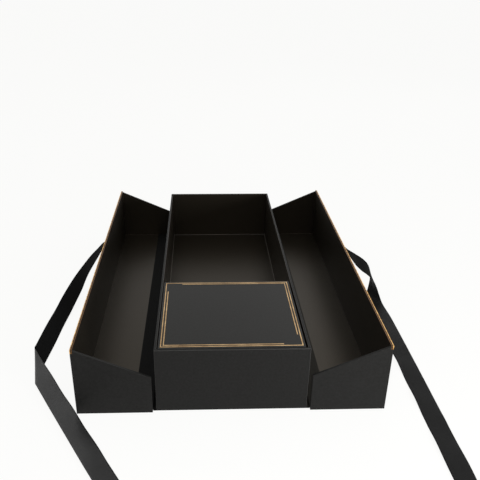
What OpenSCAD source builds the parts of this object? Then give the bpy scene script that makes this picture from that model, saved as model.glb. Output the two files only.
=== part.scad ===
// Rigid gift box with two side doors, shown open.
// X runs across the box, Y along it to the rear, Z up. The origin is on the table, under
// the middle of the tray.

/* [Tray] */
// Outside width of the tray
tray_w = 150; // [130:1:180]
// Outside length of the tray
tray_l = 410; // [360:1:460]
// Outside height of the tray
tray_h = 72; // [60:1:90]
// Thickness of the paper-wrapped board of tray and doors
board = 2.4; // [2.2:0.1:3]

/* [Base sheet] */
// Thickness of the sheet under the tray, whose long edges are the paper hinges
sheet_t = 0.25; // [0.2:0.05:0.3]
// Length by which the sheet reaches past each hinge line
sheet_past = 0.1; // [0.05:0.05:0.15]

/* [Doors] */
// Height of the end walls beside the hinge
end_low = 42.5; // [30:0.5:50]
// Gap between the tray's side and the lining of a closed door
side_clear = 0.3; // [0.2:0.05:0.6]
// Gap between the tray's ends and the doors' end walls
end_clear = 0.4; // [0.3:0.05:1]
// Gap between the tray's rim and the closed doors
head_clear = 0.6; // [0.4:0.1:1.5]
// Gap between the two doors when both are closed
centre_gap = 4; // [2:0.5:8]
// Distance from each hinge line to the door's folding edge
fold_clear = 0.4; // [0.35:0.05:0.6]

/* [Hinge linings] */
// Width of the paper strip that lines each hinge, on the door's floor
lining_w = 19.5; // [12:0.5:30]
// Thickness of the lining
lining_t = 0.3; // [0.2:0.05:0.4]

/* [Inner box] */
// Length of the inner box over its lid
inner_l = 128; // [90:1:180]
// Thickness of the inner box's board
inner_board = 1.8; // [1.4:0.1:2.4]
// Mean gap between the inner box's lid and the tray's sides
inner_gap = 1.4; // [1:0.1:3]
// Distance by which the inner box stands off the middle, to the left
inner_shift = 0.4; // [0:0.1:0.8]
// Gap between the inner box and the tray's front wall
inner_front_gap = 1.6; // [0.5:0.1:4]
// Depth of the inner lid's skirt
skirt_h = 26; // [15:1:40]
// Play between the inner lid's skirt and the box under it
skirt_play = 0.4; // [0.3:0.05:0.8]
// Distance from the tray's rim down to the inner lid's top
lid_drop = 0.6; // [0.3:0.1:3]

/* [Foil lines] */
// Thickness of the foil lines
foil_t = 0.12; // [0.08:0.01:0.2]
// Width of a foil line on the inner lid
foil_w = 1; // [0.6:0.1:1.6]
// Distance between the outer and the inner line of the lid's border, centre to centre
foil_pitch = 2.6; // [2:0.1:5]
// Distance from the lid's edge to the outer line's outer side
foil_margin = 2.2; // [1.5:0.1:8]
// Length that each inner line stops short of its open corner
foil_break = 16; // [6:1:30]
// Width of each of the two foil lines on a door's rim
rim_line_w = 0.8; // [0.5:0.05:0.9]
// Length by which the rim's lines turn down over the door's ends
rim_turn = 4; // [2:0.5:10]

/* [Magnets] */
// Diameter of the magnets and of the steel discs that they pull
magnet_d = 10; // [6:0.5:12]
// Thickness of the magnets and of the steel discs
magnet_t = 1.3; // [1:0.1:1.4]
// Play round each magnet in its pocket
magnet_play = 0.1; // [0.05:0.05:0.15]
// Distance of the magnets below the top of the closed box
magnet_drop = 15; // [10:1:25]
// Board left between a magnet and the sloping rim of the door's end wall
magnet_rim = 1.5; // [1:0.5:4]

/* [Ribbons] */
// Width of the tie ribbons
ribbon_w = 20; // [12:1:22]
// Thickness of the tie ribbons
ribbon_t = 0.5; // [0.4:0.1:0.8]
// Length of each tie ribbon, from the end in its slot
ribbon_l = 450; // [400:5:520]
// Distance from a door's rim down to the slot that holds its ribbon
slot_drop = 6; // [4:0.5:12]
// Depth of the ribbon's slot in the door's wall
slot_depth = 1.2; // [0.8:0.1:1.5]
// Play round the ribbon in its slot
slot_play = 0.15; // [0.1:0.05:0.3]

/* [Hidden] */
$fn = 96;

black_paper = "#2b2b2a";
lining_black = "#1a1a19";
foil_gold = "#c79a66";
ribbon_black = "#1e1e1f";
metal = "#b9bcc0";

over = 1; // extra length of a cut past a face

// Tray and base sheet
tray_top = sheet_t + tray_h;
tray_floor = sheet_t + board;

// Doors, lying open. hinge_x is the hinge line's distance from the middle plane.
hinge_gap = board + lining_t + side_clear;
hinge_x = tray_w / 2 + hinge_gap;
door_d = tray_top + head_clear + board; // width of a door's floor, the closed door's height
wall_h = hinge_x - centre_gap / 2; // height of the outer wall, half of the closed box's top
door_y = tray_l / 2 + end_clear + board; // half of a door's length
wall_x = hinge_x + door_d; // outer face of a door's wall
fold_x = hinge_x + fold_clear; // the folding edge of a door's floor
sheet_x = hinge_x + sheet_past;

// Inner box
lid_w = tray_w - 2 * board - 2 * inner_gap;
lid_top = tray_top - lid_drop;
lid_y0 = -tray_l / 2 + board + inner_front_gap;
skirt_in = inner_board + skirt_play; // from the lid's outside to the box's outside

// Magnets
pocket_d = magnet_d + 2 * magnet_play;
pocket_t = magnet_t + 2 * magnet_play;
disc_y = tray_l / 2 - board / 2; // middle of the tray's end walls
magnet_y = tray_l / 2 + end_clear + board / 2; // middle of the doors' end walls
magnet_up = door_d - magnet_drop; // height of the magnets when the doors are closed
// In an open door, the rim is rim_z high above the magnets, which lie magnet_z above the table.
// A closed door brings them to magnet_out from the middle plane.
rim_slope = (wall_h - end_low) / (wall_x - fold_x);
rim_z = wall_h - rim_slope * magnet_drop;
magnet_z = rim_z - (pocket_d / 2 + magnet_rim) * sqrt(1 + rim_slope ^ 2);
magnet_out = hinge_x - magnet_z;

// Ribbons, in a door's own view: out from its wall, along Y, up. Each station of a route is
// [distance out from the wall, place along Y, height as a share of the slot's height,
// direction of the ribbon's width in degrees, upward tilt of the width in degrees].
slot_z = wall_h - slot_drop;
slot_end = slot_play - slot_depth; // where the ribbon's end sits in its slot
left_slot_y = 16;
right_slot_y = -6;
left_drop = [
    [slot_end, left_slot_y, 1, 90, 0], [1, left_slot_y, 1, 90, 0], [6, 16, 0.94, 85, 4],
    [12, 16, 0.85, 77, 7], [18, 15.5, 0.74, 69, 8], [25, 13.5, 0.61, 60, 7],
    [31.5, 10.5, 0.47, 47, 6], [38, 3.5, 0.32, 30, 7], [45, -9, 0.17, 15, 6],
    [49.5, -28, 0.06, 8, 4], [53, -55, 0.02, 5, 2], [54.5, -88, 0, 4, 0]
];
right_drop = [
    [slot_end, right_slot_y, 1, 90, 0], [1, right_slot_y, 1, 90, 0], [4.5, -5.5, 0.99, 93, 10],
    [9, -3.5, 0.94, 90, 19], [15, -1.5, 0.86, 83, 22], [23.5, -1, 0.76, 74, 22],
    [31.5, 0, 0.65, 77, 15], [38, 1, 0.5, 88, 5], [41, 1, 0.34, 102, -1],
    [42.2, 0.5, 0.19, 120, -4], [42.5, -3, 0.07, 146, -4], [43, -11, 0.015, 168, -2],
    [44, -25, 0, 178, 0], [45, -45, 0, 180, 0]
];
// The left ribbon is folded over flat beside the door's front corner
fold_out = 58; // the fold's middle, out from the door's wall
fold_behind = 72; // the fold's middle, behind the door's front end
run_in = 274; // direction of the run into the fold
run_out = 238; // direction of the run out of the fold
lap_end = 50; // distance from the fold at which the run starts down off the lower layer
lap_down = 80; // distance from the fold at which the run is down on the table
lap_press = 0.1; // how far the two layers are pressed together

function unit(v) = v / norm(v);
function level(a) = [cos(a), sin(a), 0];
function tilted(a, up) = [cos(a) * cos(up), sin(a) * cos(up), sin(up)];
function place(s) = [s[0], s[1], s[2]];
function route(drop) = [for (s = drop)
    [s[0] + wall_x, s[1], max(ribbon_t / 2, s[2] * slot_z), s[3], s[4]]];

// Length of a route through the given places, from place i on
function path(p, i = 0) = i > len(p) - 2 ? 0 : norm(p[i + 1] - p[i]) + path(p, i + 1);

// A ribbon swept through rings, each made of its four corners. Both faces of a twisted
// stretch are split along the same diagonal, so the ribbon keeps its thickness there.
module strip(rings) {
    n = len(rings);
    sides = [for (i = [0:n - 2]) for (k = [0:3])
        let (a = 4 * i + k, b = 4 * i + (k + 1) % 4, c = b + 4, d = a + 4)
        each k < 2 ? [[a, b, c], [a, c, d]] : [[a, b, d], [b, c, d]]];
    ends = [[0, 2, 1], [0, 3, 2], [4 * n - 4, 4 * n - 3, 4 * n - 2], [4 * n - 4, 4 * n - 2, 4 * n - 1]];
    polyhedron(points = [for (r = rings) each r], faces = concat(sides, ends));
}

// The four corners of a ribbon's ring at p: width along b, thickness along n
function ring(p, b, n) = let (w = ribbon_w / 2 * b, t = ribbon_t / 2 * n)
    [p - w - t, p - w + t, p + w + t, p + w - t];

// Rings along a route's stations, with the thickness square to the run
function rings(st) = [for (i = [0:len(st) - 1])
    let (
        run = place(st[min(i + 1, len(st) - 1)]) - place(st[max(i - 1, 0)]),
        b = tilted(st[i][3], st[i][4])
    ) ring(place(st[i]), b, unit(cross(run, b)))];

// A ring that lies flat, with its width in the given direction
function flat_ring(p, direction) = ring(p, level(direction), [0, 0, 1]);

// A flat ring cut along the fold's line
function fold_ring(p, direction) =
    ring(p, level(direction) / sin((run_in - run_out) / 2), [0, 0, 1]);

module base_sheet() {
    color(black_paper) translate([-sheet_x, -tray_l / 2, 0]) cube([2 * sheet_x, tray_l, sheet_t]);
}

module disc_pocket(x, y, z) {
    translate([x, y, z]) rotate([90, 0, 0])
        cylinder(d = pocket_d, h = pocket_t, center = true);
}

module disc(x, y, z) {
    color(metal) translate([x, y, z]) rotate([90, 0, 0])
        cylinder(d = magnet_d, h = magnet_t, center = true);
}

module tray() {
    color(black_paper) difference() {
        translate([-tray_w / 2, -tray_l / 2, sheet_t]) cube([tray_w, tray_l, tray_h]);
        translate([-tray_w / 2 + board, -tray_l / 2 + board, tray_floor])
            cube([tray_w - 2 * board, tray_l - 2 * board, tray_h]);
        for (x = [-1, 1], y = [-1, 1]) disc_pocket(x * magnet_out, y * disc_y, magnet_up);
    }
}

// Open inner box, which stands on the tray's floor under its lid
module inner_box() {
    w = lid_w - 2 * skirt_in;
    l = inner_l - 2 * skirt_in;
    h = lid_top - inner_board - tray_floor;
    color(black_paper) translate([-w / 2 - inner_shift, lid_y0 + skirt_in, tray_floor])
    difference() {
        cube([w, l, h]);
        translate([inner_board, inner_board, inner_board])
            cube([w - 2 * inner_board, l - 2 * inner_board, h]);
    }
}

module inner_lid() {
    color(black_paper) translate([-lid_w / 2 - inner_shift, lid_y0, lid_top - skirt_h])
    difference() {
        cube([lid_w, inner_l, skirt_h]);
        translate([inner_board, inner_board, -over])
            cube([lid_w - 2 * inner_board, inner_l - 2 * inner_board, skirt_h - inner_board + over]);
    }
}

// Border on the inner lid: a closed outer line, and two inner lines bent at the front left
// and rear right corners, which stop short of the other two corners
module inner_lid_foil() {
    w = lid_w - 2 * foil_margin;
    l = inner_l - 2 * foil_margin;
    wi = w - 2 * foil_pitch;
    li = l - 2 * foil_pitch;
    color(foil_gold)
    translate([-inner_shift, lid_y0 + inner_l / 2, lid_top]) linear_extrude(foil_t) {
        difference() {
            square([w, l], center = true);
            square([w - 2 * foil_w, l - 2 * foil_w], center = true);
        }
        for (turn = [0, 180]) rotate(turn) translate([-wi / 2, -li / 2]) {
            square([wi - foil_break, foil_w]);
            square([foil_w, li - foil_break]);
        }
    }
}

// One door, lying open on the right: floor, tall outer wall and two sloping end walls
module door(slot_y) {
    difference() {
        union() {
            translate([fold_x, -door_y, 0]) cube([wall_x - fold_x, 2 * door_y, board]);
            translate([wall_x - board, -door_y, 0]) cube([board, 2 * door_y, wall_h]);
            for (y = [-door_y + board, door_y]) translate([0, y, 0]) rotate([90, 0, 0])
                linear_extrude(board)
                polygon([[fold_x, 0], [wall_x, 0], [wall_x, wall_h], [fold_x, end_low]]);
        }
        for (y = [-1, 1]) disc_pocket(hinge_x + magnet_up, y * magnet_y, hinge_x - magnet_out);
        translate([wall_x - slot_depth, slot_y - ribbon_w / 2 - slot_play,
                   slot_z - ribbon_t / 2 - slot_play])
            cube([slot_depth + over, ribbon_w + 2 * slot_play, ribbon_t + 2 * slot_play]);
    }
}

module left_door() { color(black_paper) mirror([1, 0, 0]) door(left_slot_y); }
module right_door() { color(black_paper) door(right_slot_y); }

// Paper that lines the hinge, glued on the door's floor between its end walls
module hinge_lining() {
    translate([fold_x, -door_y + board, board]) cube([lining_w, 2 * (door_y - board), lining_t]);
}
module left_hinge_lining() { color(lining_black) mirror([1, 0, 0]) hinge_lining(); }
module right_hinge_lining() { color(lining_black) hinge_lining(); }

// Two foil lines along a door's rim, turned down over its ends
module rim_foil() {
    for (x = [wall_x - board, wall_x - rim_line_w]) {
        translate([x, -door_y, wall_h]) cube([rim_line_w, 2 * door_y, foil_t]);
        for (y = [-door_y - foil_t, door_y])
            translate([x, y, wall_h - rim_turn]) cube([rim_line_w, foil_t, rim_turn + foil_t]);
    }
}
module left_rim_foil() { color(foil_gold) mirror([1, 0, 0]) rim_foil(); }
module right_rim_foil() { color(foil_gold) rim_foil(); }

// Left ribbon: out of its slot, down to the table, forward, and folded over to the right
module left_ribbon() {
    drop = route(left_drop);
    fold = [wall_x + fold_out, -door_y + fold_behind, ribbon_t / 2];
    tail = ribbon_l - path(concat([for (s = drop) place(s)], [fold]));
    line = (run_in + run_out) / 2;
    on_top = [0, 0, ribbon_t - lap_press];
    run = level(run_out);
    across = run_out + 90;
    color(ribbon_black) mirror([1, 0, 0]) {
        strip(concat(rings(drop), [fold_ring(fold, line + 180)]));
        strip([
            fold_ring(fold + on_top, line),
            flat_ring(fold + on_top + lap_end * run, across),
            flat_ring(fold + lap_down * run, across),
            flat_ring(fold + tail * run, across)
        ]);
    }
}

// Right ribbon: out of its slot, down to the table with half a turn, and straight forward
module right_ribbon() {
    drop = route(right_drop);
    last = drop[len(drop) - 1];
    tail = ribbon_l - path([for (s = drop) place(s)]);
    color(ribbon_black) strip(rings(concat(drop, [last - [0, tail, 0, 0, 0]])));
}

// Magnets in the doors' end walls, and the steel discs that they meet in the tray's ends
module magnet(x, y) { disc(x * (hinge_x + magnet_up), y * magnet_y, hinge_x - magnet_out); }
module tray_disc(x, y) { disc(x * magnet_out, y * disc_y, magnet_up); }

base_sheet();
tray();
inner_box();
inner_lid();
inner_lid_foil();
left_door();
right_door();
left_hinge_lining();
right_hinge_lining();
left_rim_foil();
right_rim_foil();
left_ribbon();
right_ribbon();
magnet(-1, -1);  // left_front_magnet
magnet(-1, 1);  // left_rear_magnet
magnet(1, -1);  // right_front_magnet
magnet(1, 1);  // right_rear_magnet
tray_disc(-1, -1);  // tray_left_front_disc
tray_disc(-1, 1);  // tray_left_rear_disc
tray_disc(1, -1);  // tray_right_front_disc
tray_disc(1, 1);  // tray_right_rear_disc
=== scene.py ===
# Rigid gift box of wrapped board, lying open on a table: tray, inner box with a foil border,
# two side doors with foil rims, and two black tie ribbons. All lengths are in metres.
import math

import bmesh
import bpy
from mathutils import Matrix, Vector


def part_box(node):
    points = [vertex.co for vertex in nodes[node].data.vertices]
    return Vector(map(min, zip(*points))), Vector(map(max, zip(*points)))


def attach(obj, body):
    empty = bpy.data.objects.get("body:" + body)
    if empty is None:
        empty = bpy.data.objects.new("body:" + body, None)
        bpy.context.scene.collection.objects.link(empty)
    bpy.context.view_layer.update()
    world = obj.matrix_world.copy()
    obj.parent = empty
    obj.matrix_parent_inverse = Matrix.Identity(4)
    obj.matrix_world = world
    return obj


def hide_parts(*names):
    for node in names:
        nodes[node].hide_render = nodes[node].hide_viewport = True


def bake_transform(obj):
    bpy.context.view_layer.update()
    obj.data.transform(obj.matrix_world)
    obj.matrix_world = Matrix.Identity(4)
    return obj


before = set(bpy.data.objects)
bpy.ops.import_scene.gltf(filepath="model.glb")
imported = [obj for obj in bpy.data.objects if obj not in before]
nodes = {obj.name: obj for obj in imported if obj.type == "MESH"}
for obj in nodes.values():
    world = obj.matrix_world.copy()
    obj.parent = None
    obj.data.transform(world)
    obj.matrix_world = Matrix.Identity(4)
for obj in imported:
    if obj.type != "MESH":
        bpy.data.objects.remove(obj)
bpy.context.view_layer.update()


# Camera. It stands 0.67 m in front of the box's middle and 0.41 m above the table, and looks
# down on it. The picture is a crop, so the lens axis lies a little to its left.
FRAME_PX = 480
LENS_PX = 598.8
AXIS_PX = 220.6
SENSOR = 36.0
camera_data = bpy.data.cameras.new("camera")
camera_data.sensor_width = SENSOR
camera_data.lens = LENS_PX / FRAME_PX * SENSOR
camera_data.shift_x = 0.5 - AXIS_PX / FRAME_PX
camera_data.clip_end = 50
camera = bpy.data.objects.new("camera", camera_data)
bpy.context.scene.collection.objects.link(camera)
camera_at = Vector((-0.0288, -0.6719, 0.4106))
pitch, yaw, roll = (math.radians(a) for a in (25.51, 2.02, 0.42))
ahead = Vector((math.sin(yaw) * math.cos(pitch), math.cos(yaw) * math.cos(pitch), -math.sin(pitch)))
level_right = Vector((math.cos(yaw), -math.sin(yaw), 0))
level_up = level_right.cross(ahead)
right = math.cos(roll) * level_right + math.sin(roll) * level_up
up = math.cos(roll) * level_up - math.sin(roll) * level_right
camera.matrix_world = Matrix.Translation(camera_at) @ Matrix((right, up, -ahead)).transposed().to_4x4()
bpy.context.scene.camera = camera
bpy.context.scene.view_settings.view_transform = "Standard"


# Studio. A softbox high in front, a small low one at the right front, a weak one at the right
# rear and a white room light the box. The table is a plain white sheet that keeps shadows.
LAMPS_AIM = Vector((0, 0, 0.03))


def softbox(name, at, size, watts):
    """A square lamp that is turned to the box."""
    lamp = bpy.data.lights.new(name, "AREA")
    lamp.shape = "SQUARE"
    lamp.size = size
    lamp.energy = watts
    lamp_object = bpy.data.objects.new(name, lamp)
    lamp_object.location = at
    lamp_object.rotation_euler = (LAMPS_AIM - Vector(at)).to_track_quat("-Z", "Y").to_euler()
    bpy.context.scene.collection.objects.link(lamp_object)


softbox("front_softbox", at=(0, -1.2, 1.3), size=1.0, watts=8)
softbox("right_softbox", at=(0.55, -0.75, 0.15), size=0.2, watts=6)
softbox("rear_softbox", at=(0.7, 1.1, 1.0), size=0.8, watts=1.5)


def seen_by_camera(tree):
    """A node output that is 1 for the camera's rays, also after a reflection or a clear piece."""
    path = tree.nodes.new("ShaderNodeLightPath")
    seen = path.outputs["Is Camera Ray"]
    for ray in ("Is Glossy Ray", "Is Transmission Ray"):
        larger = tree.nodes.new("ShaderNodeMath")
        larger.operation = "MAXIMUM"
        tree.links.new(seen, larger.inputs[0])
        tree.links.new(path.outputs[ray], larger.inputs[1])
        seen = larger.outputs[0]
    return seen


BACKDROP = (0.985, 0.985, 0.975, 1)
ROOM_LIGHT = 0.6
world = bpy.data.worlds.new("room")
world.use_nodes = True
bpy.context.scene.world = world
room = world.node_tree
room.nodes.clear()
backdrop = room.nodes.new("ShaderNodeBackground")
backdrop.inputs["Color"].default_value = BACKDROP
fill = room.nodes.new("ShaderNodeBackground")
fill.inputs["Strength"].default_value = ROOM_LIGHT
either = room.nodes.new("ShaderNodeMixShader")
room_out = room.nodes.new("ShaderNodeOutputWorld")
room.links.new(seen_by_camera(room), either.inputs[0])
room.links.new(fill.outputs[0], either.inputs[1])
room.links.new(backdrop.outputs[0], either.inputs[2])
room.links.new(either.outputs[0], room_out.inputs[0])

TABLE_HALF = 6.0
TABLE_WHITE = (0.8, 0.8, 0.79, 1)
TABLE_GLOW = 1.045
SHADOW_SHARE = 0.12
table_bm = bmesh.new()
bmesh.ops.create_grid(table_bm, x_segments=1, y_segments=1, size=TABLE_HALF)
table_mesh = bpy.data.meshes.new("table")
table_bm.to_mesh(table_mesh)
table_bm.free()
table = bpy.data.objects.new("table", table_mesh)
bpy.context.scene.collection.objects.link(table)
white = bpy.data.materials.new("white_table")
white.use_nodes = True
sheet = white.node_tree
sheet.nodes.clear()
matt_white = sheet.nodes.new("ShaderNodeBsdfDiffuse")
matt_white.inputs["Color"].default_value = TABLE_WHITE
bright_white = sheet.nodes.new("ShaderNodeEmission")
bright_white.inputs["Color"].default_value = BACKDROP
bright_white.inputs["Strength"].default_value = TABLE_GLOW
glow_share = sheet.nodes.new("ShaderNodeMath")
glow_share.operation = "MULTIPLY"
glow_share.inputs[1].default_value = 1 - SHADOW_SHARE
table_mix = sheet.nodes.new("ShaderNodeMixShader")
table_out = sheet.nodes.new("ShaderNodeOutputMaterial")
sheet.links.new(seen_by_camera(sheet), glow_share.inputs[0])
sheet.links.new(glow_share.outputs[0], table_mix.inputs[0])
sheet.links.new(matt_white.outputs[0], table_mix.inputs[1])
sheet.links.new(bright_white.outputs[0], table_mix.inputs[2])
sheet.links.new(table_mix.outputs[0], table_out.inputs[0])
table_mesh.materials.append(white)


# Base sheet: one sheet of heavy black paper glued under the tray. Its long edges are the
# paper hinges of the doors. The printed black is matt, with fine fibres and faint mottling.
FIBRE_SCALE = 1500
FIBRE_RELIEF = 0.00006
MOTTLE_SCALE = 420
GLOSS_SPREAD = 0.08


def paper(name, dark, light, crease, roughness, shine, sheen_tint):
    """Matt printed paper: mottled between two tones, with fibres and lighter folded edges, partly rubbed
    wear and partly painted highlight.
    """
    material = bpy.data.materials.new(name)
    material.use_nodes = True
    tree = material.node_tree
    shader = tree.nodes["Principled BSDF"]
    shader.inputs["Specular IOR Level"].default_value = shine
    shader.inputs["Specular Tint"].default_value = (*sheen_tint, 1)
    place = tree.nodes.new("ShaderNodeTexCoord")
    fibres = tree.nodes.new("ShaderNodeTexNoise")
    fibres.inputs["Scale"].default_value = FIBRE_SCALE
    fibres.inputs["Detail"].default_value = 3
    mottle = tree.nodes.new("ShaderNodeTexNoise")
    mottle.inputs["Scale"].default_value = MOTTLE_SCALE
    mottle.inputs["Detail"].default_value = 4
    mottle.inputs["Roughness"].default_value = 0.65
    tint = tree.nodes.new("ShaderNodeValToRGB")
    tint.color_ramp.elements[0].position = 0.32
    tint.color_ramp.elements[0].color = (*dark, 1)
    tint.color_ramp.elements[1].position = 0.70
    tint.color_ramp.elements[1].color = (*light, 1)
    folded = tree.nodes.new("ShaderNodeAttribute")
    folded.attribute_name = "fold"
    # The folded edges are lighter: partly rubbed wear, partly a painted highlight for the light that
    # rounded edges catch.
    worn_and_lit_edge = tree.nodes.new("ShaderNodeMix")
    worn_and_lit_edge.data_type = "RGBA"
    worn_and_lit_edge.inputs["B"].default_value = (*crease, 1)
    rough = tree.nodes.new("ShaderNodeMapRange")
    rough.inputs["To Min"].default_value = roughness - GLOSS_SPREAD
    rough.inputs["To Max"].default_value = roughness + GLOSS_SPREAD
    bump = tree.nodes.new("ShaderNodeBump")
    bump.inputs["Strength"].default_value = 0.3
    bump.inputs["Distance"].default_value = FIBRE_RELIEF
    tree.links.new(place.outputs["Object"], fibres.inputs["Vector"])
    tree.links.new(place.outputs["Object"], mottle.inputs["Vector"])
    tree.links.new(mottle.outputs["Fac"], tint.inputs["Fac"])
    tree.links.new(tint.outputs["Color"], worn_and_lit_edge.inputs["A"])
    tree.links.new(folded.outputs["Fac"], worn_and_lit_edge.inputs["Factor"])
    tree.links.new(worn_and_lit_edge.outputs["Result"], shader.inputs["Base Color"])
    tree.links.new(fibres.outputs["Fac"], rough.inputs["Value"])
    tree.links.new(rough.outputs["Result"], shader.inputs["Roughness"])
    tree.links.new(fibres.outputs["Fac"], bump.inputs["Height"])
    tree.links.new(bump.outputs["Normal"], shader.inputs["Normal"])
    return material


WRAP_DARK = (0.006, 0.006, 0.0059)
WRAP_LIGHT = (0.0105, 0.0105, 0.0103)
# WRAP_CREASE, the lighter colour of folded edges, is partly rubbed wear and partly painted highlight.
WRAP_CREASE = (0.035, 0.035, 0.034)
WRAP_SHEEN = (1, 0.97, 0.92)
wrap_paper = paper("black_wrap_paper", WRAP_DARK, WRAP_LIGHT, WRAP_CREASE,
                   roughness=0.52, shine=0.13, sheen_tint=WRAP_SHEEN)


def finish_node(name, material):
    """Gives a carried-over solid its finish."""
    mesh = nodes[name].data
    mesh.materials.clear()
    mesh.materials.append(material)


finish_node("base_sheet", wrap_paper)


# Tray: four walls and a floor of 2.4 mm wrapped board. The outside is wrapped in the black
# paper, and a warmer, slightly lighter paper lines the inside.
INSIDE_DARK = (0.0045, 0.0038, 0.0028)
INSIDE_LIGHT = (0.0075, 0.0064, 0.0048)
# INSIDE_CREASE, the lighter colour of folded edges, is partly rubbed wear and partly painted highlight.
INSIDE_CREASE = (0.03, 0.029, 0.027)
INSIDE_SHEEN = (1, 0.82, 0.60)
inside_paper = paper("warm_inside_paper", INSIDE_DARK, INSIDE_LIGHT, INSIDE_CREASE,
                     roughness=0.38, shine=0.34, sheen_tint=INSIDE_SHEEN)


def add_piece(name, bm, materials, body, slot, *stands_for):
    """Makes an object of the mesh, on its body, in place of the solids that it stands for."""
    mesh = bpy.data.meshes.new(name)
    bm.to_mesh(mesh)
    bm.free()
    for material in materials:
        mesh.materials.append(material)
    piece = bpy.data.objects.new(name, mesh)
    bpy.context.scene.collection.objects.link(piece)
    if body:
        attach(piece, body)
    if stands_for:
        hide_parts(*stands_for)
    return piece


def fold_edges(bm, edges, radius, fold=1.0):
    """Rounds the edges over which the paper is folded, and marks the rounding."""
    marks = bm.faces.layers.float.get("fold") or bm.faces.layers.float.new("fold")
    rounded = bmesh.ops.bevel(bm, geom=edges, offset=radius, offset_type="OFFSET", segments=3,
                              profile=0.5, affect="EDGES", clamp_overlap=True, material=-1)
    for face in rounded["faces"]:
        face.smooth = True
        # The mark mixes the lighter crease colour into the rounding: rubbed wear and painted highlight.
        face[marks] = fold


def verts_of(geom):
    """The vertices among the result of an extrusion."""
    return [g for g in geom if isinstance(g, bmesh.types.BMVert)]


def open_box(low, high, board, mouth=1):
    """A block whose mouth, its top (1) or bottom (-1), is inset by the board and pushed in."""
    bm = bmesh.new()
    bmesh.ops.create_cube(bm, size=1)
    bmesh.ops.scale(bm, vec=high - low, verts=bm.verts)
    bmesh.ops.translate(bm, vec=(low + high) / 2, verts=bm.verts)
    opening = next(f for f in bm.faces if f.normal.z * mouth > 0.9)
    bmesh.ops.inset_region(bm, faces=[opening], thickness=board, use_even_offset=True)
    bottom = verts_of(bmesh.ops.extrude_face_region(bm, geom=[opening])["geom"])
    bmesh.ops.translate(bm, vec=(0, 0, -mouth * (high.z - low.z - board)), verts=bottom)
    if opening.is_valid:
        bmesh.ops.delete(bm, geom=[opening], context="FACES_ONLY")
    bmesh.ops.recalc_face_normals(bm, faces=bm.faces)
    return bm, bottom


BOARD = 0.0024
WRAPPED_EDGE = 0.0004
FLOOR_CREASE = 0.0007
BENT_BY = 0.5
tray_low, tray_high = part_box("tray")
tray_bm, tray_bottom = open_box(tray_low, tray_high, BOARD)
for face in {f for v in tray_bottom for f in v.link_faces}:
    face.material_index = 1
floor_edges = [e for e in tray_bm.edges if all(v in tray_bottom for v in e.verts)]
other_edges = [e for e in tray_bm.edges if e not in floor_edges]
fold_edges(tray_bm, floor_edges, FLOOR_CREASE)
bent_edges = [e for e in other_edges if e.is_valid and e.calc_face_angle(0) > BENT_BY]
fold_edges(tray_bm, bent_edges, WRAPPED_EDGE)
add_piece("tray_wrapped", tray_bm, [wrap_paper, inside_paper], "box", "black_paper", "tray")


# Inner box and its lift-off lid, of thinner wrapped board, at the front end of the tray. The
# lid's top lies just under the tray's rim.
INNER_BOARD = 0.0018
inner_low, inner_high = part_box("inner_box")
inner_bm, _ = open_box(inner_low, inner_high, INNER_BOARD)
fold_edges(inner_bm, list(inner_bm.edges), WRAPPED_EDGE)
add_piece("inner_box_wrapped", inner_bm, [wrap_paper], "box", "black_paper", "inner_box")

lid_paper = paper("smooth_lid_paper", WRAP_DARK, WRAP_LIGHT, WRAP_CREASE,
                  roughness=0.48, shine=0.20, sheen_tint=WRAP_SHEEN)
lid_low, lid_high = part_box("inner_lid")
lid_bm, _ = open_box(lid_low, lid_high, INNER_BOARD, mouth=-1)
fold_edges(lid_bm, list(lid_bm.edges), WRAPPED_EDGE)
add_piece("inner_lid_wrapped", lid_bm, [lid_paper], "box", "black_paper", "inner_lid")


# Foil border on the inner lid: hot-stamped gold lines, a little worn and speckled where the
# foil has not taken on the paper's fibres.
SPECK_SCALE = 1400
SPECK_BLUR = 0.06
FOIL_RELIEF = 0.00005


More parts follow.
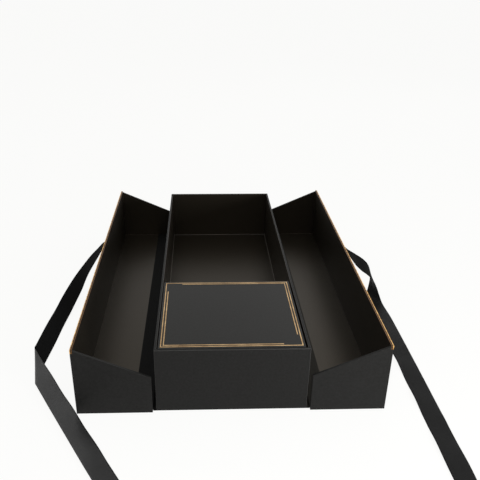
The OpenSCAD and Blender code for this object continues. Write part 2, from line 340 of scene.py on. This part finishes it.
def foil(name, gold, rich, bare, bare_share, patches):
    """Hot-stamped foil in patches of two golds, with small bare specks."""
    material = bpy.data.materials.new(name)
    material.use_nodes = True
    tree = material.node_tree
    shader = tree.nodes["Principled BSDF"]
    shader.inputs["Metallic"].default_value = 0.75
    place = tree.nodes.new("ShaderNodeTexCoord")
    specks = tree.nodes.new("ShaderNodeTexNoise")
    specks.inputs["Scale"].default_value = SPECK_SCALE
    specks.inputs["Detail"].default_value = 3
    sheen = tree.nodes.new("ShaderNodeTexNoise")
    sheen.inputs["Scale"].default_value = patches
    tint = tree.nodes.new("ShaderNodeValToRGB")
    tint.color_ramp.elements[0].position = 0.35
    tint.color_ramp.elements[0].color = (*gold, 1)
    tint.color_ramp.elements[1].position = 0.65
    tint.color_ramp.elements[1].color = (*rich, 1)
    cover = tree.nodes.new("ShaderNodeValToRGB")
    cover.color_ramp.elements[0].position = bare_share
    cover.color_ramp.elements[1].position = bare_share + SPECK_BLUR
    colour = tree.nodes.new("ShaderNodeMix")
    colour.data_type = "RGBA"
    colour.inputs["A"].default_value = (*bare, 1)
    rough = tree.nodes.new("ShaderNodeMapRange")
    rough.inputs["To Min"].default_value = 0.30
    rough.inputs["To Max"].default_value = 0.55
    bump = tree.nodes.new("ShaderNodeBump")
    bump.inputs["Strength"].default_value = 0.3
    bump.inputs["Distance"].default_value = FOIL_RELIEF
    for noise in (specks, sheen):
        tree.links.new(place.outputs["Object"], noise.inputs["Vector"])
    tree.links.new(sheen.outputs["Fac"], tint.inputs["Fac"])
    tree.links.new(specks.outputs["Fac"], cover.inputs["Fac"])
    tree.links.new(cover.outputs["Color"], colour.inputs["Factor"])
    tree.links.new(tint.outputs["Color"], colour.inputs["B"])
    tree.links.new(colour.outputs["Result"], shader.inputs["Base Color"])
    tree.links.new(specks.outputs["Fac"], rough.inputs["Value"])
    tree.links.new(rough.outputs["Result"], shader.inputs["Roughness"])
    tree.links.new(specks.outputs["Fac"], bump.inputs["Height"])
    tree.links.new(bump.outputs["Normal"], shader.inputs["Normal"])
    return material


lid_gold = foil("lid_border_gold", gold=(0.38, 0.24, 0.11), rich=(0.62, 0.42, 0.21),
                bare=(0.10, 0.07, 0.05), bare_share=0.30, patches=90)
finish_node("inner_lid_foil", lid_gold)


# Doors: each is one panel of wrapped board, folded up into a floor, a tall outer wall and two
# sloping end walls. Half of it is drawn out from its end outline, and the rest is the mirror image.
END_LOW = 0.0425
DOOR_BENT_BY = 0.3
# Share of the lighter crease colour on the doors' folds: rubbed wear and painted highlight.
DOOR_EDGE_WEAR_AND_HIGHLIGHT = 0.15
INSIDE_FROM = 0.75 * BOARD
ON_MIDDLE = 1e-6
SAME_PLACE = 1e-5


def folded_door(side, low, high):
    """side is 1 for the right door and -1 for the left one."""
    inner, outer = sorted((abs(low.x), abs(high.x)))
    end, top = high.y, high.z
    wall = outer - BOARD
    slope_at_wall = END_LOW + (top - END_LOW) * (wall - inner) / (outer - inner)
    bm = bmesh.new()

    def corner(x, z):
        return bm.verts.new((x, -end, z))

    foot = corner(inner, 0)
    heel = corner(outer, 0)
    peak = corner(outer, top)
    lip = corner(wall, top)
    notch = corner(wall, slope_at_wall)
    elbow = corner(wall, BOARD)
    sill = corner(inner, BOARD)
    crest = corner(inner, END_LOW)
    folded = bm.faces.new((foot, heel, peak, lip, notch, elbow, sill))
    infill = bm.faces.new((sill, elbow, notch, crest))
    grown = bmesh.ops.extrude_face_region(bm, geom=[folded, infill])["geom"]
    bmesh.ops.translate(bm, vec=(0, BOARD, 0), verts=verts_of(grown))
    panel = max((g for g in grown if isinstance(g, bmesh.types.BMFace)), key=lambda f: len(f.verts))
    run = bmesh.ops.extrude_face_region(bm, geom=[panel])["geom"]
    bmesh.ops.translate(bm, vec=(0, end - BOARD, 0), verts=verts_of(run))
    cut = [f for f in bm.faces if all(abs(v.co.y) < ON_MIDDLE for v in f.verts)]
    buried = [panel] if panel.is_valid else []
    bmesh.ops.delete(bm, geom=cut + buried, context="FACES_ONLY")
    half = bm.verts[:] + bm.edges[:] + bm.faces[:]
    bmesh.ops.mirror(bm, geom=half, axis="Y", merge_dist=SAME_PLACE)
    bmesh.ops.remove_doubles(bm, verts=bm.verts, dist=SAME_PLACE)
    bmesh.ops.dissolve_limit(bm, angle_limit=math.radians(1), verts=bm.verts, edges=bm.edges)
    bmesh.ops.scale(bm, vec=(side, 1, 1), verts=bm.verts)
    bmesh.ops.recalc_face_normals(bm, faces=bm.faces)
    for face in bm.faces:
        middle = face.calc_center_median()
        inward = Vector((side * (inner + outer) / 2, 0, top)) - middle
        inside = abs(middle.y) < end - INSIDE_FROM and inner < abs(middle.x) < outer - INSIDE_FROM
        face.material_index = int(inside and middle.z > BOARD / 2 and face.normal.dot(inward) > 0)
    bent = [e for e in bm.edges if e.calc_face_angle(0) > DOOR_BENT_BY]
    fold_edges(bm, bent, WRAPPED_EDGE / 2, DOOR_EDGE_WEAR_AND_HIGHLIGHT)
    return bm


for name, side in (("left_door", -1), ("right_door", 1)):
    door_bm = folded_door(side, *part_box(name))
    add_piece(name + "_wrapped", door_bm, [wrap_paper, inside_paper], name, "black_paper", name)


# Hinge linings: a strip of dull black paper on each door's floor. The right strip is a lighter
# copy of the same paper: its lighter colour and sheen are painted light, the light from the right
# that falls on it. Inside the hinge it folds down to the base sheet and up against the tray's foot.
LINING_EDGE = (0.01, 0.01, 0.01)
dull_lining = paper("dull_hinge_lining_paper", (0.003, 0.003, 0.0028), (0.005, 0.005, 0.0048),
                    LINING_EDGE, roughness=0.7, shine=0.08, sheen_tint=(1, 1, 1))
# A lighter copy of the lining paper: its lighter colour and sheen are painted light from the right.
lit_copy_lining = paper("lit_copy_hinge_lining_paper", (0.015, 0.0142, 0.0122), (0.022, 0.0208, 0.0178),
                      LINING_EDGE, roughness=0.6, shine=0.12, sheen_tint=(1, 0.9, 0.75))
LINING_T = 0.00015
LINING_Z = 0.0027
HINGE_FOLD = [
    (0.07506, 0.0012), (0.07512, 0.0007), (0.0753, 0.0005), (0.0762, 0.00044), (0.0774, 0.00044),
    (0.0778, 0.0006), (0.0780, 0.0011), (0.07805, 0.0020), (0.0782, 0.0025), (0.0786, LINING_Z),
]
for name, side, lining_paper in (("left", -1, dull_lining), ("right", 1, lit_copy_lining)):
    low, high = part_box(name + "_hinge_lining")
    outline = HINGE_FOLD + [(max(abs(low.x), abs(high.x)), LINING_Z)]
    lining_bm = bmesh.new()
    verts = [lining_bm.verts.new((side * x, low.y, z)) for x, z in outline]
    edges = [lining_bm.edges.new(pair) for pair in zip(verts, verts[1:])]
    swept = bmesh.ops.extrude_edge_only(lining_bm, edges=edges)["geom"]
    bmesh.ops.translate(lining_bm, vec=(0, high.y - low.y, 0), verts=verts_of(swept))
    if side < 0:
        bmesh.ops.reverse_faces(lining_bm, faces=lining_bm.faces)
    upward = sum(f.normal.z * f.calc_area() for f in lining_bm.faces)
    bmesh.ops.solidify(lining_bm, geom=lining_bm.faces, thickness=math.copysign(LINING_T, upward))
    bmesh.ops.recalc_face_normals(lining_bm, faces=lining_bm.faces)
    lining = add_piece(name + "_hinge_paper", lining_bm, [lining_paper], None, "lining_paper",
                       name + "_hinge_lining")
    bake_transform(lining)


# Rim foil: two gold lines along each door's rim, turned down over its ends, of a richer gold
# than the lid's border. The outer line is bright and the inner one dark bronze: painted
# highlight and painted shade, for the light that the rim's rounded outer edge catches.
# The inner line's dark bronze is painted shade; the outer line keeps the full gold as a painted highlight.
INNER_LINE_SHADE = (0.13, 0.06, 0.02, 1)
LINE_BLUR = 0.0001
rim_gold = foil("rim_gold", gold=(0.40, 0.20, 0.06), rich=(0.98, 0.62, 0.23),
                bare=(0.05, 0.03, 0.02), bare_share=0.36, patches=170)
rim_tree = rim_gold.node_tree
rim_shader = rim_tree.nodes["Principled BSDF"]
full_gold = rim_shader.inputs["Base Color"].links[0].from_socket
rim_place = rim_tree.nodes.new("ShaderNodeTexCoord")
rim_parts = rim_tree.nodes.new("ShaderNodeSeparateXYZ")
from_middle = rim_tree.nodes.new("ShaderNodeMath")
from_middle.operation = "ABSOLUTE"
rim_low, rim_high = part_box("right_rim_foil")
between_lines = (rim_low.x + rim_high.x) / 2
outer_line_lit = rim_tree.nodes.new("ShaderNodeMapRange")
outer_line_lit.inputs["From Min"].default_value = between_lines - LINE_BLUR
outer_line_lit.inputs["From Max"].default_value = between_lines + LINE_BLUR
lit_and_shaded_lines = rim_tree.nodes.new("ShaderNodeMix")
lit_and_shaded_lines.data_type = "RGBA"
lit_and_shaded_lines.inputs["A"].default_value = INNER_LINE_SHADE
rim_tree.links.new(rim_place.outputs["Object"], rim_parts.inputs[0])
rim_tree.links.new(rim_parts.outputs["X"], from_middle.inputs[0])
rim_tree.links.new(from_middle.outputs[0], outer_line_lit.inputs["Value"])
rim_tree.links.new(outer_line_lit.outputs["Result"], lit_and_shaded_lines.inputs["Factor"])
rim_tree.links.new(full_gold, lit_and_shaded_lines.inputs["B"])
rim_tree.links.new(lit_and_shaded_lines.outputs["Result"], rim_shader.inputs["Base Color"])
for name in ("left_rim_foil", "right_rim_foil"):
    finish_node(name, rim_gold)


# Tie ribbons: black ribbed ribbon, 20 mm wide and 450 mm long, fixed in a slot under each
# door's rim. The face that is up at the slot is dull. The other face, which shows after the left
# ribbon's fold and after the right one's half turn, is one cloth in two copies. The left one's is
# lighter and shines more, partly the satin's own sheen and partly painted light, and the right
# one's is darker and duller, painted shade, with deeper ribs.
RIBBON_W = 0.020
RIBBON_T = 0.0004
RIBBON_L = 0.450
RIBBON_STEP = 0.0012
RIBBON_COLUMNS = 16
RIB_SCALE = 400
THREAD_SCALE = 900
THREAD_SHARE = 0.4
RIB_RELIEF = 0.00015
GLOSS_RANGE = 0.15
SLOT_Z = 0.070
LOWEST = 0.00025
wall_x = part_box("right_door")[1].x
front_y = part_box("right_door")[0].y


def ribbon_cloth(name, dark, light, rib_depth, shine, rough_from):
    """Ribbed cloth. Its pattern follows the ribbon's own UV map, in metres across and along."""
    material = bpy.data.materials.new(name)
    material.use_nodes = True
    tree = material.node_tree
    shader = tree.nodes["Principled BSDF"]
    shader.inputs["Specular IOR Level"].default_value = shine
    place = tree.nodes.new("ShaderNodeUVMap")
    place.uv_map = "weave"
    ribs = tree.nodes.new("ShaderNodeTexWave")
    ribs.wave_type = "BANDS"
    ribs.bands_direction = "Y"
    ribs.inputs["Scale"].default_value = RIB_SCALE
    ribs.inputs["Distortion"].default_value = 0.3
    threads = tree.nodes.new("ShaderNodeTexNoise")
    threads.inputs["Scale"].default_value = THREAD_SCALE
    threads.inputs["Detail"].default_value = 3
    tone = tree.nodes.new("ShaderNodeMix")
    tone.data_type = "FLOAT"
    tone.inputs["Factor"].default_value = THREAD_SHARE
    tint = tree.nodes.new("ShaderNodeValToRGB")
    tint.color_ramp.elements[0].position = 0.25
    tint.color_ramp.elements[0].color = (*dark, 1)
    tint.color_ramp.elements[1].position = 0.75
    tint.color_ramp.elements[1].color = (*light, 1)
    rough = tree.nodes.new("ShaderNodeMapRange")
    rough.inputs["To Min"].default_value = rough_from
    rough.inputs["To Max"].default_value = rough_from + GLOSS_RANGE
    bump = tree.nodes.new("ShaderNodeBump")
    bump.inputs["Strength"].default_value = rib_depth
    bump.inputs["Distance"].default_value = RIB_RELIEF
    for texture in (ribs, threads):
        tree.links.new(place.outputs["UV"], texture.inputs["Vector"])
    tree.links.new(ribs.outputs["Fac"], tone.inputs["A"])
    tree.links.new(threads.outputs["Fac"], tone.inputs["B"])
    tree.links.new(tone.outputs["Result"], tint.inputs["Fac"])
    tree.links.new(tint.outputs["Color"], shader.inputs["Base Color"])
    tree.links.new(threads.outputs["Fac"], rough.inputs["Value"])
    tree.links.new(rough.outputs["Result"], shader.inputs["Roughness"])
    tree.links.new(ribs.outputs["Fac"], bump.inputs["Height"])
    tree.links.new(bump.outputs["Normal"], shader.inputs["Normal"])
    return material


dull_face = ribbon_cloth("ribbon_dull_face", (0.0025, 0.0025, 0.0024), (0.005, 0.005, 0.005),
                         rib_depth=0.4, shine=0.05, rough_from=0.7)
# The reverse face in a lit copy (left ribbon) and a shaded copy (right ribbon): painted light and painted
# shade.
lit_reverse_face = ribbon_cloth("ribbon_reverse_face_lit_copy", (0.006, 0.006, 0.006), (0.013, 0.013, 0.013),
                           rib_depth=0.6, shine=0.46, rough_from=0.34)
shaded_reverse_face = ribbon_cloth("ribbon_reverse_face_shaded_copy", (0.005, 0.005, 0.005), (0.011, 0.011, 0.011),
                           rib_depth=0.8, shine=0.08, rough_from=0.40)


def curve_value(p, q, r, s, t):
    """The value a share t of the way from q to r, on a smooth curve that also meets p and s."""
    return 0.5 * (2 * q + (r - p) * t + (2 * p - 5 * q + 4 * r - s) * t ** 2
                  + (3 * q - p - 3 * r + s) * t ** 3)


def smooth_route(stations):
    """Stations close together, along a Catmull-Rom curve through the given ones."""
    route = [stations[0], *stations, stations[-1]]
    points = []
    for a, b, c, d in zip(route, route[1:], route[2:], route[3:]):
        steps = max(2, round(math.dist(b[:3], c[:3]) / RIBBON_STEP))
        for t in (i / steps for i in range(steps)):
            points.append([curve_value(*values, t) for values in zip(a, b, c, d)])
    return points + [stations[-1]]


def ribbon_rows(stations):
    """Middle and width direction of each row of the ribbon, with its edges above the table."""
    rows = []
    for point in smooth_route(stations):
        turn, tilt = (math.radians(angle) for angle in point[3:])
        across = Vector((math.cos(turn) * math.cos(tilt), math.sin(turn) * math.cos(tilt), math.sin(tilt)))
        lowest_middle = LOWEST + abs(across.z) * RIBBON_W / 2
        middle = Vector((point[0], point[1], max(point[2], lowest_middle)))
        rows.append((middle, across))
    return rows


def ribbon_mesh(rows, side):
    """A grid laid along the rows, dull side up at the slot, with its UV in metres."""
    bm = bmesh.new()
    bmesh.ops.create_grid(bm, x_segments=RIBBON_COLUMNS, y_segments=len(rows) - 1, size=0.5)
    lengths = [0.0]
    for before, after in zip(rows, rows[1:]):
        lengths.append(lengths[-1] + (after[0] - before[0]).length)
    weave = bm.loops.layers.uv.new("weave")
    index = {v: (v.co.x, round((v.co.y + 0.5) * (len(rows) - 1))) for v in bm.verts}
    mirrored = Vector((side, 1, 1))
    for vert, (u, row) in index.items():
        middle, across = rows[row]
        vert.co = (middle + across * u * RIBBON_W) * mirrored
    for face in bm.faces:
        face.smooth = True
        for loop in face.loops:
            u, row = index[loop.vert]
            loop[weave].uv = (u * RIBBON_W, lengths[row])
    bm.normal_update()
    first = min(bm.faces, key=lambda f: min(index[v][1] for v in f.verts))
    if first.normal.z < 0:
        bmesh.ops.reverse_faces(bm, faces=bm.faces)
    return bm


def add_ribbon(name, bm, faces):
    """Gives the ribbon its thickness and its two faces."""
    piece = add_piece(name + "_woven", bm, faces, None, "ribbon", name)
    solid = piece.modifiers.new("thickness", "SOLIDIFY")
    solid.thickness = RIBBON_T
    solid.offset = 0
    solid.material_offset = 1
    graph = bpy.context.evaluated_depsgraph_get()
    thick = bpy.data.meshes.new_from_object(piece.evaluated_get(graph), preserve_all_data_layers=True,
                                            depsgraph=graph)
    piece.modifiers.clear()
    piece.data = thick
    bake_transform(piece)


FORWARD = 270
RIPPLE_STEP = 0.03
RIPPLE_TILT = 2.5
RIPPLES = (0.0009, 0.0002, 0.0012, 0.0004, 0.0010, 0.0001, 0.0008)


def on_route(drop):
    """Stations in the right door's view: out from its wall, along Y, share of the slot's
    height, and the direction and tilt of the ribbon's width in degrees."""
    return [(wall_x + out, y, max(LOWEST, share * SLOT_Z), turn, tilt)
            for out, y, share, turn, tilt in drop]


def straight_on(stations, heading):
    """The route with a straight run on the table added, up to the ribbon's whole length. It
    lies in low, uneven ripples."""
    places = [Vector(s[:3]) for s in stations]
    gone = sum((b - a).length for a, b in zip(places, places[1:]))
    last = stations[-1]
    still_to_go = RIBBON_L - gone
    count = int(still_to_go / RIPPLE_STEP)
    runs = [RIPPLE_STEP * i for i in range(1, count)] + [still_to_go]
    turn = math.radians(heading)
    for i, run in enumerate(runs):
        lift = 0 if run == still_to_go else RIPPLES[i % len(RIPPLES)]
        tilt = 0 if run == still_to_go else RIPPLE_TILT * (-1) ** i
        stations = stations + [(last[0] + math.cos(turn) * run, last[1] + math.sin(turn) * run,
                                LOWEST + lift, last[3], tilt)]
    return stations


# Left ribbon: it falls from its slot to the table, runs forward, and is folded over flat
# beside the door's front corner, so that its bright face shows in front of the box. The mesh is
# cut across at FOLD_CUTS, in half bends from the crease, so that it bends cleanly there.
RUN_IN = 274
RUN_OUT = 238
FOLD_OUT = 0.0605
FOLD_BEHIND = 0.076
FOLD_LOOP = 0.0022
FOLD_CUTS = (-1, -0.67, -0.33, 0, 0.33, 0.67, 1, 2.5, 5)
CUT_SNAP = 1e-6
LAYER_GAP = 0.0005
FOLD_SETTLE = 0.018
left_drop = [
    (-0.00105, 0.030, 1, 90, 0), (0.001, 0.030, 1, 90, 0), (0.004, 0.026, 0.98, 86, 3),
    (0.0085, 0.021, 0.91, 80, 5), (0.014, 0.018, 0.82, 73, 7), (0.0195, 0.0155, 0.72, 67, 8),
    (0.025, 0.0135, 0.61, 60, 7), (0.0315, 0.0105, 0.47, 47, 6), (0.038, 0.0035, 0.32, 30, 7),
    (0.045, -0.009, 0.17, 15, 6), (0.050, -0.028, 0.075, 8, 6), (0.054, -0.055, 0.038, 5, 9),
    (0.0565, -0.088, 0.027, 4, 10),
]
fold_at = Vector((wall_x + FOLD_OUT, front_y + FOLD_BEHIND, LOWEST))
left_route = on_route(left_drop) + [(*fold_at, RUN_IN - FORWARD, 0)]
left_bm = ribbon_mesh(ribbon_rows(straight_on(left_route, RUN_IN)), -1)
crease_turn = math.radians((RUN_IN + RUN_OUT) / 2 + 90)
beyond = Vector((-math.cos(crease_turn), math.sin(crease_turn), 0))
fold_at.x = -fold_at.x
half_bend = math.pi * FOLD_LOOP / 2
for cut in FOLD_CUTS:
    whole = left_bm.verts[:] + left_bm.edges[:] + left_bm.faces[:]
    bmesh.ops.bisect_plane(left_bm, geom=whole, dist=CUT_SNAP,
                           plane_co=fold_at + beyond * half_bend * cut, plane_no=beyond)
for vert in left_bm.verts:
    past = (vert.co - fold_at).dot(beyond)
    if past < -half_bend:
        continue
    if past < half_bend:
        bend = (past + half_bend) / FOLD_LOOP
        moved = -half_bend + FOLD_LOOP * math.sin(bend)
        rise = FOLD_LOOP * (1 - math.cos(bend))
    else:
        moved = -past
        rise = LAYER_GAP + (2 * FOLD_LOOP - LAYER_GAP) * math.exp((half_bend - past) / FOLD_SETTLE)
    vert.co += beyond * (moved - past)
    vert.co.z += rise
for face in left_bm.faces:
    face.smooth = True
add_ribbon("left_ribbon", left_bm, [dull_face, lit_reverse_face])


# Right ribbon: it stands out from its slot, falls to the table with half a turn, and runs
# straight forward along the door.
right_drop = [
    (-0.00105, 0.018, 1, 90, 0), (0.001, 0.018, 1, 90, 0), (0.0028, 0.009, 1, 90, 2),
    (0.005, 0.0005, 0.985, 91, 8), (0.009, -0.0030, 0.94, 90, 18), (0.015, -0.0015, 0.86, 83, 22),
    (0.0235, -0.001, 0.76, 74, 22), (0.0315, 0, 0.65, 77, 15), (0.038, 0.001, 0.5, 88, 5),
    (0.041, 0.001, 0.34, 102, -1), (0.0422, 0.0005, 0.19, 120, -4), (0.0425, -0.003, 0.07, 146, -4),
    (0.043, -0.011, 0.015, 168, -2), (0.044, -0.025, 0, 178, 0), (0.045, -0.045, 0, 180, 0),
]
right_bm = ribbon_mesh(ribbon_rows(straight_on(on_route(right_drop), FORWARD)), 1)
add_ribbon("right_ribbon", right_bm, [dull_face, shaded_reverse_face])


# Magnets in the doors' end walls and steel discs in the tray's ends: nickel-plated discs,
# buried in the board, with fine turning marks.
MARK_SCALE = 900
NICKEL_DARK = (0.50, 0.50, 0.52, 1)
NICKEL_LIGHT = (0.66, 0.66, 0.68, 1)
plated = bpy.data.materials.new("nickel_plate")
plated.use_nodes = True
plate = plated.node_tree
plate_shader = plate.nodes["Principled BSDF"]
plate_shader.inputs["Metallic"].default_value = 1
plate_place = plate.nodes.new("ShaderNodeTexCoord")
plate_marks = plate.nodes.new("ShaderNodeTexNoise")
plate_marks.inputs["Scale"].default_value = MARK_SCALE
plate_tint = plate.nodes.new("ShaderNodeValToRGB")
plate_tint.color_ramp.elements[0].color = NICKEL_DARK
plate_tint.color_ramp.elements[1].color = NICKEL_LIGHT
plate_rough = plate.nodes.new("ShaderNodeMapRange")
plate_rough.inputs["To Min"].default_value = 0.25
plate_rough.inputs["To Max"].default_value = 0.4
plate.links.new(plate_place.outputs["Object"], plate_marks.inputs["Vector"])
plate.links.new(plate_marks.outputs["Fac"], plate_tint.inputs["Fac"])
plate.links.new(plate_tint.outputs["Color"], plate_shader.inputs["Base Color"])
plate.links.new(plate_marks.outputs["Fac"], plate_rough.inputs["Value"])
plate.links.new(plate_rough.outputs["Result"], plate_shader.inputs["Roughness"])
for door in ("left", "right"):
    for row in ("front", "rear"):
        finish_node(f"{door}_{row}_magnet", plated)
        finish_node(f"tray_{door}_{row}_disc", plated)


bpy.context.view_layer.update()
